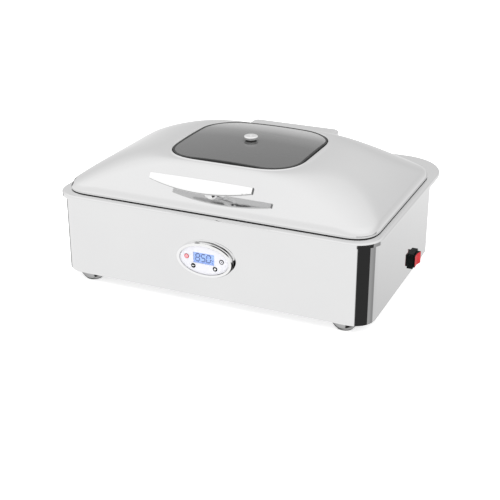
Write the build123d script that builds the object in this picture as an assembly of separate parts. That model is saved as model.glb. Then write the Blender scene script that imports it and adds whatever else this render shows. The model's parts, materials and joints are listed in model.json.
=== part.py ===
from build123d import *
import os
from math import cos, radians, sin

# ---------------------------------------------------------------------------
# Hot stone heater, millimetres. While it is built, z = 0 is the floor and x = y = 0 is the middle of
# the housing, with -Y the front. main() then moves everything so that the origin is under the middle
# of the whole object's box.
# ---------------------------------------------------------------------------

SHEET = 1.2                 # housing and basin sheet
GAP = 0.3                   # clearance between pieces that move apart

# housing
FOOT_H = 18.0
HOUSING_W = 600.0
HOUSING_D = 388.6
HOUSING_R = 39.0
WALL_X = HOUSING_W / 2
WALL_Y = HOUSING_D / 2
FLANGE_IN = 14.0            # inward flange at the foot of the wrap

# rim of the water basin: wider at the back, where it carries the hinge
RIM_Z0 = 162.3
RIM_Z1 = 171.1
RIM_HALF_W = 308.0
RIM_FRONT = -202.0
RIM_BACK = 269.0
RIM_R_FRONT = 50.0
RIM_R_BACK = 86.0
LIP_R = 3.5

# well of the basin: a full-size steam-table opening
WELL_W = 530.0
WELL_D = 325.0
WELL_R = 62.0
WELL_Y = 7.0
WELL_FLOOR = 66.0
WELL_FOOT_R = 12.0

# lift-out tray that carries the stones above the well's floor
TRAY_Z0 = WELL_FLOOR + 8
TRAY_Z1 = WELL_FLOOR + 52
TRAY_W = WELL_W - 12
TRAY_D = WELL_D - 12
TRAY_R = WELL_R - 6
TRAY_SHEET = 1.0
TRAY_HOLE_R = 4.0
TRAY_FOOT_R = 7.0

# lid: stacked rounded rectangles that close in towards the window
LID_EDGE_Z = 172.4
LID_LIP_Z = 176.5
LID_DOME_Z = 183.0
LID_TOP_Z = 244.0
LID_HALF_W = 295.7
LID_FRONT = 185.7
LID_BACK = 191.0
LID_R = 44.0
LID_TOP_HALF_W = 130.0
LID_TOP_FRONT = 128.0
LID_TOP_BACK = 125.4
LID_MID_R = 94.0            # corners are roundest half way up
LID_TOP_R = 68.0
LID_CURVE_X = 2.17          # higher: steeper at the edge and flatter near the window
LID_CURVE_FRONT = 1.6
LID_CURVE_BACK = 1.41
LID_LEVELS = 7
LID_WALL_UP = 1.4
LID_WALL_IN = 0.8

# window in the lid
WINDOW_W = 254.0
WINDOW_D = 236.0
WINDOW_R = 64.0
WINDOW_Y = -1.5
GASKET_LAP = 1.6            # how far the gasket reaches under the glass
GLASS_T = 4.0
GLASS_CROWN_Z = 252.0
GLASS_SPHERE_R = 1400.0
GLASS_SEAT_Z = LID_TOP_Z - 5.3
GLASS_INSET = SHEET + 2.0   # room for the gasket round the glass

# knob and steam vent on the window
KNOB_R = 13.0
KNOB_Z1 = 261.5
VENT_STEM_R = 4.0

# handle, square to the lid's front slope
HANDLE_Z = 208.0
HANDLE_TILT = 54.4          # slope of the lid's front under the handle
HANDLE_STANDOFF = 53.5      # top face of the bar, out from the lid
BAR_HALF_L = 95.5
BAR_TOP = 7.5
BAR_END_LOW = -4.0
BAR_MID_LOW = -16.5
BAR_T = 9.0

# hinge
HINGE_Y = 210.0
HINGE_Z = 193.0
PIN_R = 4.0
PIN_HALF_L = 78.0
KNUCKLE_R = 7.5
ROOT_KNUCKLES = ((24.0, 40.0), (56.0, 72.0))
LID_KNUCKLE = (40.4, 55.6)
HINGE_SCREW_X = 66.0
HINGE_SCREW_Y = 232.0
HOOD_HALF_W = 93.0
HOOD_TOP_Z = 220.5
HOOD_REAR_Y = 228.0
HOOD_LOW_Z = 201.5
HOOD_T = 1.4

# control panel on the front wall
PANEL_X = 0.0
PANEL_Z = 92.8
BEZEL_A = 54.4
BEZEL_B = 32.4
BEZEL_H = 9.5
BEZEL_UNDERCUT = 1.6        # how far the ring draws in again at the wall
BEZEL_GASKET_T = 0.8
FACE_A = 47.6
FACE_B = 27.0
FACE_H = 5.7                # back of the face plate, measured out from the wall
FACE_T = 2.0
CAVITY_A = 44.5
CAVITY_B = 24.0
STUD_X = 51.0
BOARD_H = -4.3              # back of the control board, inside the wall
BOARD_T = 1.6
TACT_H = 4.4
BUTTONS = {"power": (-34.0, 2.8), "minus": (-21.3, -13.3), "plus": (21.0, -12.9), "timer": (33.6, 2.8)}
BUTTON_R = 4.2
BUTTON_FLANGE = 0.6         # keeps the cap behind the face plate
BUTTON_TRAVEL = 0.7
LCD_W = 41.0
LCD_D = 20.5
LCD_CENTRE = (-0.9, 2.9)
POSTS = ((0.0, 20.3), (-30.0, -9.5), (30.0, -9.5))

# rocker switch on the right wall
SWITCH_Y = 63.0
SWITCH_Z = 43.0
SWITCH_L = 33.0
SWITCH_H = 29.6
SWITCH_OUT = 5.4
SWITCH_FLOOR = 0.7          # floor of the recess for the rocker
ROCKER_PIVOT = 5.6          # out from the wall
ROCKER_HALF_L = 13.6
ROCKER_HALF_W = 11.5
ROCKER_REST = 7.0           # degrees, far end up
ROCKER_PIN_R = 1.2

# mains inlet on the back wall
INLET_X = 150.0
INLET_Z = 45.0

# feet
FOOT_X = 250.0
FOOT_Y = 166.0
FOOT_TOP_R = 25.0
FOOT_LOW_R = 19.0
PAD_H = 4.0

# underside of the well
PLATE_Z1 = WELL_FLOOR - SHEET
PLATE_T = 4.0
ELEMENT_R = 4.0
ELEMENT_Z = PLATE_Z1 - PLATE_T - ELEMENT_R
BASE_Z1 = FOOT_H + SHEET
PLATE_W = 320.0
PLATE_D = 200.0
ELEMENT_ROWS = (-70.5, -23.5, 23.5, 70.5)
CLAMP_XS = (-85.0, 5.0, 95.0)
CLAMP_Y = 47.0
STUD_R = 2.5
SHIELD_Z = 37.0
SHIELD_W = 318.0
SHIELD_D = 204.0

# power board beside the heater
BOARD_X = 225.0
BOARD_Y = 97.0
BOARD_W = 90.0
BOARD_L = 92.0
BOARD_Z0 = BASE_Z1 + 9
BOARD_Z1 = BOARD_Z0 + BOARD_T
TERMINAL_X = BOARD_X - 20

FRONT = Plane(origin=(PANEL_X, -WALL_Y, PANEL_Z), x_dir=(1, 0, 0), z_dir=(0, -1, 0))
SIDE = Plane(origin=(WALL_X, SWITCH_Y, SWITCH_Z), x_dir=(0, 1, 0), z_dir=(1, 0, 0))
REAR = Plane(origin=(INLET_X, WALL_Y, INLET_Z), x_dir=(-1, 0, 0), z_dir=(0, 1, 0))
HANDLE_LEVEL = (HANDLE_Z - LID_DOME_Z) / (LID_TOP_Z - LID_DOME_Z)
HANDLE_Y = -LID_TOP_FRONT - (LID_FRONT - LID_TOP_FRONT) * (1 - HANDLE_LEVEL) ** (1 / LID_CURVE_FRONT)
HANDLE = Plane(origin=(0, HANDLE_Y, HANDLE_Z), x_dir=(1, 0, 0),
               z_dir=(0, -sin(radians(HANDLE_TILT)), cos(radians(HANDLE_TILT))))


# --- shapes used more than once --------------------------------------------

def prism(width, depth, radius, z0, z1, y=0.0):
    """Upright prism on a rounded rectangle."""
    return extrude(Pos(0, y, z0) * RectangleRounded(width, depth, radius), amount=z1 - z0)


def block(x, y, z, centre=(0, 0, 0)):
    return Pos(*centre) * Box(x, y, z)


def rod(radius, z0, z1, x=0.0, y=0.0):
    return Pos(x, y, (z0 + z1) / 2) * Cylinder(radius, z1 - z0)


def rod_x(radius, x0, x1, y, z):
    return Pos((x0 + x1) / 2, y, z) * Rot(0, 90, 0) * Cylinder(radius, x1 - x0)


def ellipse_prism(a, b, z0, z1):
    return extrude(Pos(0, 0, z0) * Ellipse(a, b), amount=z1 - z0)


def hex_nut(flats, height, hole_r):
    """Nut standing on z = 0."""
    blank = extrude(RegularPolygon(flats / 2, 6, major_radius=False), amount=height)
    return blank - rod(hole_r, -1, height + 1)


def pan_screw(shank_r, length, head_r, head_h):
    """Screw with the underside of its head at z = 0 and its shank below."""
    head = rod(head_r, 0, head_h)
    head = fillet(head.edges().sort_by(Axis.Z)[-1], head_h * 0.45)
    return head + rod(shank_r, -length, 0) - block(head_r, 0.9, 0.8, (0, 0, head_h))


def group(pieces):
    """Separate solids that share one node."""
    return Compound([solid for piece in pieces for solid in piece.solids()])


def corners(x, y):
    return [(-x, -y), (x, -y), (-x, y), (x, y)]


# --- housing ----------------------------------------------------------------

def vent_slots():
    rows = (-120, -104, -88, 104, 120)
    return [block(34, 4, 8, (x, y, FOOT_H)) for x in range(-150, 151, 50) for y in rows]


def base_screw_places():
    return [(x, y) for x in (-200, -70, 70, 200) for y in (-186, 186)]


def housing_wrap():
    wrap = prism(HOUSING_W, HOUSING_D, HOUSING_R, FOOT_H, RIM_Z1 - SHEET)
    wrap -= prism(HOUSING_W - 2 * SHEET, HOUSING_D - 2 * SHEET, HOUSING_R - SHEET, 0, RIM_Z1)
    flange = prism(HOUSING_W - SHEET, HOUSING_D - SHEET, HOUSING_R - SHEET / 2, BASE_Z1, BASE_Z1 + SHEET)
    inset = 2 * (SHEET + FLANGE_IN)
    flange -= prism(HOUSING_W - inset, HOUSING_D - inset, HOUSING_R - SHEET - FLANGE_IN, 0, RIM_Z1)
    wrap += flange
    for x, y in base_screw_places():
        wrap -= rod(2.0, 0, 40, x, y)
    wrap -= FRONT * ellipse_prism(CAVITY_A, CAVITY_B, -5, 5)
    for side in (-1, 1):
        wrap -= FRONT * rod(1.7, -5, 5, side * STUD_X)
    wrap -= SIDE * block(27.4, 22.4, 10)
    wrap -= REAR * block(27.6, 20.4, 10)
    for side in (-1, 1):
        wrap -= REAR * rod(1.8, -5, 5, side * 20)
    return wrap


def base_plate():
    inset = 2 * SHEET + 0.6
    plate = prism(HOUSING_W - inset, HOUSING_D - inset, HOUSING_R - inset / 2, FOOT_H, BASE_Z1)
    for slot in vent_slots():
        plate -= slot
    for x, y in base_screw_places():
        plate -= rod(2.2, 0, 40, x, y)
    for x, y in corners(FOOT_X, FOOT_Y):
        plate -= rod(3.2, 0, 40, x, y)
    return plate


def housing_screws():
    """Screws of the base plate and of the mains inlet."""
    screw = Rot(180, 0, 0) * pan_screw(1.9, 8, 3.6, 2.2)
    inlet = Pos(0, 0, 2.5) * pan_screw(1.6, 9, 3.0, 2.0)
    base = [Pos(x, y, FOOT_H) * screw for x, y in base_screw_places()]
    return group(base + [REAR * Pos(side * 20, 0, 0) * inlet for side in (-1, 1)])


def foot_cup():
    """Turned bowl, wide at the top, with a socket for the pad."""
    profile = Polyline((0, PAD_H - 1.5), (FOOT_LOW_R - 1.5, PAD_H - 1.5), (FOOT_LOW_R, PAD_H))
    side = ThreePointArc((FOOT_LOW_R, PAD_H), (22.6, 9.5), (FOOT_TOP_R, FOOT_H - 2.5))
    top = Polyline((FOOT_TOP_R, FOOT_H - 2.5), (FOOT_TOP_R - 0.8, FOOT_H), (0, FOOT_H), (0, PAD_H - 1.5))
    bowl = revolve(Plane.XZ * make_face(profile + side + top), Axis.Z)
    bowl -= rod(FOOT_LOW_R - 3, 0, PAD_H + 0.5)
    bowl -= rod(6.6, 0, 12)
    return bowl - rod(3.1, 0, 30)


def foot_pad():
    pad = rod(FOOT_LOW_R - 3.1, 0, PAD_H + 0.4)
    pad = fillet(pad.edges().sort_by(Axis.Z)[0], 0.8)
    return pad - rod(6.6, 1.5, 9)


def foot_screws():
    screw = Pos(0, 0, 10) * Rot(180, 0, 0) * pan_screw(2.9, 16, 5.6, 3.0)
    nut = Pos(0, 0, BASE_Z1) * hex_nut(10, 5, 3.0)
    places = corners(FOOT_X, FOOT_Y)
    return group([Pos(x, y, 0) * screw for x, y in places] + [Pos(x, y, 0) * nut for x, y in places])


# --- water basin and what it holds ---------------------------------------------

def rim_outline(inset):
    width = 2 * (RIM_HALF_W - inset)
    depth = RIM_BACK - RIM_FRONT - 2 * inset
    sheet = Pos(0, (RIM_FRONT + RIM_BACK) / 2) * Rectangle(width, depth)
    sheet = fillet(sheet.vertices().group_by(Axis.Y)[0], RIM_R_FRONT - inset)
    return fillet(sheet.vertices().group_by(Axis.Y)[-1], RIM_R_BACK - inset)


def hinge_screw_places():
    return [(x, HINGE_SCREW_Y) for x in (-HINGE_SCREW_X, -32, 32, HINGE_SCREW_X)]


def water_basin():
    rim = extrude(Pos(0, 0, RIM_Z0) * rim_outline(0), amount=RIM_Z1 - RIM_Z0)
    rim = fillet(rim.faces().sort_by(Axis.Z)[-1].edges(), LIP_R)
    under = extrude(Pos(0, 0, RIM_Z0 - 1) * rim_outline(SHEET), amount=RIM_Z1 - SHEET - RIM_Z0 + 1)
    rim -= fillet(under.faces().sort_by(Axis.Z)[-1].edges(), LIP_R - SHEET)
    well = prism(WELL_W + 2 * SHEET, WELL_D + 2 * SHEET, WELL_R + SHEET, WELL_FLOOR - SHEET,
                 RIM_Z1 - SHEET / 2, WELL_Y)
    well = fillet(well.faces().sort_by(Axis.Z)[0].edges(), WELL_FOOT_R + SHEET)
    hollow = prism(WELL_W, WELL_D, WELL_R, WELL_FLOOR, RIM_Z1 + 1, WELL_Y)
    hollow = fillet(hollow.faces().sort_by(Axis.Z)[0].edges(), WELL_FOOT_R)
    basin = rim + well - hollow
    for x, y in hinge_screw_places():
        basin -= rod(2.6, 160, 180, x, y)
    return basin


def tray_wall():
    """Side of the tray with its lip, open below for the perforated floor."""
    tray = prism(TRAY_W, TRAY_D, TRAY_R, TRAY_Z0, TRAY_Z1, WELL_Y)
    tray = fillet(tray.faces().sort_by(Axis.Z)[0].edges(), 8)
    width = TRAY_W - 2 * TRAY_SHEET
    depth = TRAY_D - 2 * TRAY_SHEET
    radius = TRAY_R - TRAY_SHEET
    inner = prism(width, depth, radius, TRAY_Z0 + TRAY_SHEET, TRAY_Z1 + 1, WELL_Y)
    tray -= fillet(inner.faces().sort_by(Axis.Z)[0].edges(), 8 - TRAY_SHEET)
    lip = prism(TRAY_W + 8, TRAY_D + 8, TRAY_R + 4, TRAY_Z1 - TRAY_SHEET, TRAY_Z1, WELL_Y)
    tray += lip - prism(width, depth, radius, 0, 200, WELL_Y)
    return tray - tray_floor_blank(TRAY_Z0 - 1, TRAY_Z0 + 2)


def tray_floor_blank(z0, z1):
    return prism(TRAY_W - 20, TRAY_D - 20, TRAY_R - 10, z0, z1, WELL_Y)


def tray_floor():
    """Perforated sheet welded into the wall, on four feet that let the water under it."""
    holes = [rod(TRAY_HOLE_R, TRAY_Z0 - 1, TRAY_Z0 + 2, x, WELL_Y + y)
             for x in range(-210, 211, 35) for y in range(-105, 106, 35)]
    feet = [rod(TRAY_FOOT_R, WELL_FLOOR, TRAY_Z0 + 0.5, x, WELL_Y + y) for x, y in corners(225, 122)]
    return tray_floor_blank(TRAY_Z0, TRAY_Z0 + TRAY_SHEET) - holes + feet


def heater_plate():
    plate = prism(PLATE_W, PLATE_D, 12, PLATE_Z1 - PLATE_T, PLATE_Z1, WELL_Y)
    for x, y in clamp_places():
        plate -= rod(STUD_R, PLATE_Z1 - PLATE_T - 1, PLATE_Z1 - 1, x, y)
    return plate


def clamp_places():
    return [(x, WELL_Y + y) for x in CLAMP_XS for y in (-CLAMP_Y, CLAMP_Y)]


def heating_element():
    """Tubular element bent into four runs, with a terminal pin at each end."""
    rows = [WELL_Y + y for y in ELEMENT_ROWS]
    points = [(150, rows[0]), (-140, rows[0]), (-140, rows[1]), (130, rows[1]),
              (130, rows[2]), (-140, rows[2]), (-140, rows[3]), (150, rows[3])]
    path = FilletPolyline(*[(x, y, ELEMENT_Z) for x, y in points], radius=18)
    tube = sweep(Plane(origin=path @ 0, z_dir=path % 0) * Circle(ELEMENT_R), path=path)
    pins = [rod_x(1.6, 150, 162, y, ELEMENT_Z) for y in (rows[0], rows[3])]
    return tube + pins


def element_clamps():
    """Three straps across the element, with the studs and nuts that pull them to the plate."""
    top = ELEMENT_Z - ELEMENT_R
    bars = []
    for x in CLAMP_XS:
        bar = block(12, 170, 1.5, (x, WELL_Y, top - 0.75))
        for hole_x, y in clamp_places():
            bar -= rod(STUD_R + 0.1, 0, 100, hole_x, y)
        bars.append(bar)
    low = top - 1.5
    studs = [rod(STUD_R, low - 5, PLATE_Z1 - 1, x, y) for x, y in clamp_places()]
    nuts = [Pos(x, y, low - 4) * hex_nut(8, 4, STUD_R) for x, y in clamp_places()]
    return group(bars + [stud + nut for stud, nut in zip(studs, nuts)])


def insulation_blanket():
    return prism(SHIELD_W - 18, SHIELD_D - 18, 8, SHIELD_Z + SHEET, SHIELD_Z + 7.5, WELL_Y)


def heat_shield():
    tray = prism(SHIELD_W, SHIELD_D, 10, SHIELD_Z, SHIELD_Z + 14, WELL_Y)
    tray -= prism(SHIELD_W - 2 * SHEET, SHIELD_D - 2 * SHEET, 10 - SHEET, SHIELD_Z + SHEET, 200, WELL_Y)
    for x, y in corners(140, 86):
        tray += rod(5, BASE_Z1, SHIELD_Z + SHEET / 2, x, WELL_Y + y)
    return tray


def temperature_sensor():
    probe = rod_x(3, 190, 225, WELL_Y, PLATE_Z1 - 3)
    strap = block(16, 12, 1, (207, WELL_Y, PLATE_Z1 - 6.2))
    return probe + strap + block(16, 2, 6.7, (207, WELL_Y + 5, PLATE_Z1 - 3.35))


def thermal_cutout():
    z1 = PLATE_Z1 - PLATE_T
    body = rod(8, z1 - 7, z1, 50, WELL_Y)
    tabs = [block(1, 6, 4, (50 + side * 5, WELL_Y, z1 - 8.9)) for side in (-1, 1)]
    return body + tabs


# --- electronics beside the heater -------------------------------------------------

def board_corners():
    return [(BOARD_X + x, BOARD_Y + y) for x, y in corners(BOARD_W / 2 - 5, BOARD_L / 2 - 5)]


def power_board():
    board = block(BOARD_W, BOARD_L, BOARD_T, (BOARD_X, BOARD_Y, BOARD_Z0 + BOARD_T / 2))
    for x, y in board_corners():
        board -= rod(1.7, 0, 100, x, y)
    return board


def board_standoffs():
    post = rod(3.5, BASE_Z1, BOARD_Z0) - rod(1.4, BASE_Z1 + 2, 100)
    return group([Pos(x, y, 0) * post for x, y in board_corners()])


def board_screws():
    """Screws of the power board and, smaller, of the control board."""
    screw = pan_screw(1.4, 7, 2.8, 2.0)
    small = Rot(180, 0, 0) * pan_screw(0.9, 6, 2.0, 1.4)
    power = [Pos(x, y, BOARD_Z1) * screw for x, y in board_corners()]
    return group(power + [FRONT * Pos(x, y, BOARD_H) * small for x, y in POSTS])


def transformer():
    coil = block(30, 36, 22, (BOARD_X + 18, BOARD_Y + 14, BOARD_Z1 + 11))
    return coil + block(36, 12, 18, (BOARD_X + 18, BOARD_Y + 14, BOARD_Z1 + 9))


def terminal_block():
    strip = block(14, 50, 12, (TERMINAL_X, BOARD_Y - 14, BOARD_Z1 + 6))
    for step in range(5):
        strip -= rod(2.2, BOARD_Z1 + 6, BOARD_Z1 + 13, TERMINAL_X, BOARD_Y - 34 + step * 10)
    return strip


def lead(points, radius, bend):
    path = FilletPolyline(*points, radius=bend)
    return sweep(Plane(origin=path @ 0, z_dir=path % 0) * Circle(radius), path=path)


def internal_wiring():
    """Insulated leads, tied along the base plate between the inlet, switch, panel, element and board."""
    terminal_x = TERMINAL_X - 8.8
    z = BASE_Z1 + 3
    low_row = WELL_Y + ELEMENT_ROWS[0]
    mains = lead([(INLET_X, WALL_Y - 19.5, INLET_Z), (INLET_X, 155, INLET_Z), (172, 140, 36),
                  (182, 112, 36), (terminal_x, 105, 36)], 1.6, 8)
    switch = lead([(WALL_X - 33, SWITCH_Y, SWITCH_Z - 4), (250, SWITCH_Y, 41), (232, 40, 41), (222, 22, 38),
                   (192, 30, 34), (186, 60, 36), (terminal_x, 72, 36)], 1.6, 7)
    heater = lead([(162.4, low_row, ELEMENT_Z), (176, low_row, ELEMENT_Z - 4), (182, low_row + 30, 36),
                   (180, 20, 33), (180, 62, 35), (terminal_x, 84, 36)], 1.3, 7)
    panel = lead([(PANEL_X, 0.2 - BOARD_H - WALL_Y, PANEL_Z), (PANEL_X, 13 - WALL_Y, PANEL_Z),
                  (PANEL_X + 4, -178, PANEL_Z - 20), (PANEL_X + 10, -176, 50), (40, -160, z), (120, -140, z),
                  (200, -90, z), (240, -20, z), (250, 30, z), (250, 44, z + 1)], 2.0, 6)
    return group([mains, switch, heater, panel])


# --- control panel: built on the front wall's own plane, z pointing out -----------

def control_bezel():
    """Oval ring with a bellied side, a seat for the face plate and two fixing studs."""
    low = Pos(0, 0, BEZEL_GASKET_T) * Ellipse(BEZEL_A - BEZEL_UNDERCUT, BEZEL_B - BEZEL_UNDERCUT)
    middle = Pos(0, 0, BEZEL_H * 0.55) * Ellipse(BEZEL_A, BEZEL_B)
    high = Pos(0, 0, BEZEL_H) * Ellipse(BEZEL_A - 1.2, BEZEL_B - 1.2)
    ring = loft([low, middle, high])
    ring = fillet(ring.faces().sort_by(Axis.Z)[-1].edges(), 1.8)
    ring -= ellipse_prism(FACE_A, FACE_B, FACE_H, BEZEL_H + 1)
    ring -= ellipse_prism(CAVITY_A, CAVITY_B, -1, BEZEL_H)
    for side in (-1, 1):
        ring += rod(1.5, -9, BEZEL_GASKET_T + 1, side * STUD_X)
    return FRONT * ring


def bezel_gasket():
    inset = BEZEL_UNDERCUT + 0.4
    ring = ellipse_prism(BEZEL_A - inset, BEZEL_B - inset, 0, BEZEL_GASKET_T)
    ring -= ellipse_prism(CAVITY_A, CAVITY_B, -1, 2)
    for side in (-1, 1):
        ring -= rod(1.7, -1, 2, side * STUD_X)
    return FRONT * ring


def bezel_nuts():
    nut = hex_nut(5.5, 2.4, 1.5)
    return group([FRONT * Pos(side * STUD_X, 0, -SHEET - 2.4) * nut for side in (-1, 1)])


def face_plate():
    plate = ellipse_prism(FACE_A - 0.15, FACE_B - 0.15, FACE_H, FACE_H + FACE_T)
    top = plate.faces().sort_by(Axis.Z)[-1].edges()
    plate = fillet(top, 0.5)
    plate -= block(LCD_W, LCD_D, 10, (LCD_CENTRE[0], LCD_CENTRE[1], FACE_H))
    for x, y in BUTTONS.values():
        plate -= rod(BUTTON_R + 0.3, 0, 30, x, y)
    for x, y in POSTS:
        plate += rod(1.8, BOARD_H + BOARD_T, FACE_H + 0.5, x, y) - rod(0.9, BOARD_H, FACE_H - 2, x, y)
    return FRONT * plate


def display_window():
    pane = block(LCD_W - 0.2, LCD_D - 0.2, FACE_T - 0.4, (LCD_CENTRE[0], LCD_CENTRE[1], FACE_H + 0.8))
    return FRONT * pane


def lcd_module():
    top = FACE_H - 0.1
    depth = top - BOARD_H - BOARD_T
    case = block(LCD_W + 1.4, LCD_D + 1.4, depth, (LCD_CENTRE[0], LCD_CENTRE[1], top - depth / 2))
    return FRONT * fillet(case.edges().filter_by(Axis(FRONT.origin, (0, 0, 1))), 0.6)


def control_board():
    """Oval board with a soldered tact switch under each button."""
    top = BOARD_H + BOARD_T
    board = ellipse_prism(CAVITY_A - 0.6, CAVITY_B - 0.6, BOARD_H, top)
    for x, y in POSTS:
        board -= rod(1.1, BOARD_H - 1, top + 1, x, y)
    for x, y in BUTTONS.values():
        board += block(4.6, 4.6, TACT_H - 1, (x, y, top + (TACT_H - 1) / 2))
        board += rod(1.3, top, top + TACT_H, x, y)
    return FRONT * board


def touch_button(place):
    """Round cap through the face plate, with a flange that stops it from falling out."""
    x, y = place
    top = FACE_H + FACE_T + 0.5
    cap = rod(BUTTON_R, FACE_H - GAP - 0.9, top, x, y)
    cap = fillet(cap.edges().sort_by(Axis.Z)[-1], 0.4)
    cap += rod(BUTTON_R + BUTTON_FLANGE, FACE_H - GAP - 0.9, FACE_H - GAP, x, y)
    cap += rod(1.3, BOARD_H + BOARD_T + TACT_H + BUTTON_TRAVEL + 0.1, FACE_H - GAP, x, y)
    return FRONT * cap


# --- rocker switch: built on the right wall's own plane ---------------------------

def switch_body():
    """Collar against the wall, a recess for the rocker and the body behind the wall."""
    collar = block(SWITCH_L, SWITCH_H, SWITCH_OUT, (0, 0, SWITCH_OUT / 2))
    collar = fillet(collar.edges().filter_by(Axis.Z), 1.5)
    body = collar + block(27, 22, 22, (0, 0, -9))
    body -= block(2 * ROCKER_HALF_L + 2.6, 2 * ROCKER_HALF_W + 0.8, 20, (0, 0, SWITCH_FLOOR + 10))
    body -= Pos(0, 0, ROCKER_PIVOT) * Rot(90, 0, 0) * Cylinder(ROCKER_PIN_R + 0.06, 2 * ROCKER_HALF_W + 2.6)
    return SIDE * body


def switch_terminals():
    blades = [block(0.8, 6.3, 9, (x, 0, -24.5)) for x in (-9, 0, 9)]
    return group([SIDE * blade for blade in blades])


def rocker():
    """Shallow V face, round pivot pins, far end up at rest."""
    half = ROCKER_HALF_L
    outline = Polyline((half, 5.0), (0, 3.0), (-half, 5.0), (-half, -0.5), (-4, -4), (4, -4),
                       (half, -0.5), close=True)
    face = make_face(outline)
    body = extrude(Plane.XZ * face, amount=ROCKER_HALF_W, both=True)
    body += Rot(90, 0, 0) * Cylinder(ROCKER_PIN_R, 2 * ROCKER_HALF_W + 1.8)
    return SIDE * (Pos(0, 0, ROCKER_PIVOT) * Rot(0, -ROCKER_REST, 0) * body)


# --- mains inlet: built on the back wall's own plane -------------------------------

def power_inlet():
    flange = extrude(RectangleRounded(49, 24, 4), amount=2.5)
    shell = flange + block(27, 19.8, 18, (0, 0, -7))
    shell -= block(24.2, 16.4, 20, (0, 0, -5))
    for side in (-1, 1):
        shell -= rod(1.8, -5, 5, side * 20)
    return REAR * (shell - inlet_blades())


def inlet_blades():
    return [block(2, 4, 17, (x, y, -10.5)) for x, y in ((-7, 0), (0, 3.5), (7, 0))]


def inlet_pins():
    return group([REAR * blade for blade in inlet_blades()])


def earth_stud():
    return rod(2.5, BASE_Z1, BASE_Z1 + 14, 120, 160) + Pos(120, 160, BASE_Z1) * hex_nut(8, 4, 2.4)


# --- lid -----------------------------------------------------------------------------

def lid_outline(level):
    """Half width, front, back, corner radius and height of the dome at level 0 (edge) to 1 (top)."""
    left = 1 - level
    half_w = LID_TOP_HALF_W + (LID_HALF_W - LID_TOP_HALF_W) * left ** (1 / LID_CURVE_X)
    front = LID_TOP_FRONT + (LID_FRONT - LID_TOP_FRONT) * left ** (1 / LID_CURVE_FRONT)
    back = LID_TOP_BACK + (LID_BACK - LID_TOP_BACK) * left ** (1 / LID_CURVE_BACK)
    radius = LID_R + (LID_MID_R - LID_R) * (1 - left ** 2) - (LID_MID_R - LID_TOP_R) * level ** 6
    return half_w, front, back, radius, LID_DOME_Z + (LID_TOP_Z - LID_DOME_Z) * level


def lid_section(level, inward, down):
    half_w, front, back, radius, z = lid_outline(level)
    width = 2 * (half_w - inward)
    depth = front + back - 2 * inward
    return Pos(0, (back - front) / 2, z - down) * RectangleRounded(width, depth, radius - inward)


def lid_form(inward, down):
    """Dome on a short upright lip."""
    width = 2 * (LID_HALF_W - inward)
    depth = LID_FRONT + LID_BACK - 2 * inward
    centre = (LID_BACK - LID_FRONT) / 2
    levels = [1 - (1 - step / LID_LEVELS) ** 1.6 for step in range(1, LID_LEVELS + 1)]
    foot = Pos(0, centre, LID_LIP_Z - down) * RectangleRounded(width, depth, LID_R - inward)
    dome = loft([foot] + [lid_section(level, inward, down) for level in levels])
    return dome + prism(width, depth, LID_R - inward, LID_EDGE_Z - down, LID_LIP_Z - down, centre)


def window_prism(inset, z0, z1):
    return prism(WINDOW_W - 2 * inset, WINDOW_D - 2 * inset, WINDOW_R - inset, z0, z1, WINDOW_Y)


def crown(z):
    """Ball whose top is at height z over the middle of the window."""
    return Pos(0, WINDOW_Y, z - GLASS_SPHERE_R) * Sphere(GLASS_SPHERE_R)


def lid_shell():
    shell = lid_form(0, 0) - lid_form(LID_WALL_IN, LID_WALL_UP)
    shell -= window_prism(0, 200, 300)
    shell += window_prism(-4, LID_TOP_Z - 6.5, LID_TOP_Z - 5.3) - window_prism(8, 200, 300)
    shell += window_prism(0, LID_TOP_Z - 6.5, LID_TOP_Z - 0.5) - window_prism(SHEET, 200, 300)
    shell -= HANDLE * rod(3.1, -20, 3)
    return shell


def glass_body(inset, below, z_low):
    return window_prism(inset, z_low, LID_TOP_Z + 20) & crown(GLASS_CROWN_Z - below)


def glass_lens():
    return glass_body(GLASS_INSET, 0, GLASS_SEAT_Z + 1) - glass_body(GLASS_INSET - 5, GLASS_T, 200)


def window_glass():
    return glass_lens() - rod(VENT_STEM_R + 0.5, 200, 300, 0, WINDOW_Y)


def window_gasket():
    ring = glass_body(SHEET + 0.05, -0.7, GLASS_SEAT_Z)
    ring -= window_prism(GLASS_INSET + GASKET_LAP, 200, 300)
    return ring - glass_lens()


def steam_vent_knob():
    """Turned chrome knob with a hollow stem through the glass and a small pin on top."""
    z = GLASS_CROWN_Z + 1.5
    knob = rod(8, z, KNOB_Z1 - 4) + rod(KNOB_R, KNOB_Z1 - 5.5, KNOB_Z1)
    knob = fillet(knob.faces().sort_by(Axis.Z)[-1].edges(), 2.2)
    knob += rod(1.4, KNOB_Z1 - 1, KNOB_Z1 + 1.8)
    knob += rod(VENT_STEM_R, GLASS_CROWN_Z - 14, z)
    knob -= rod(1.5, GLASS_CROWN_Z - 15, z + 3)
    return Pos(0, WINDOW_Y, 0) * knob


def vent_seal():
    ring = rod(10, GLASS_CROWN_Z - 0.15, GLASS_CROWN_Z + 1.5) - rod(VENT_STEM_R, 200, 300)
    return Pos(0, WINDOW_Y, 0) * (ring - Pos(0, -WINDOW_Y, 0) * crown(GLASS_CROWN_Z))


def vent_nut():
    return Pos(0, WINDOW_Y, GLASS_CROWN_Z - GLASS_T - 5.2) * hex_nut(13, 5, VENT_STEM_R)


# --- handle: built square to the lid's front slope ----------------------------------

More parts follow.
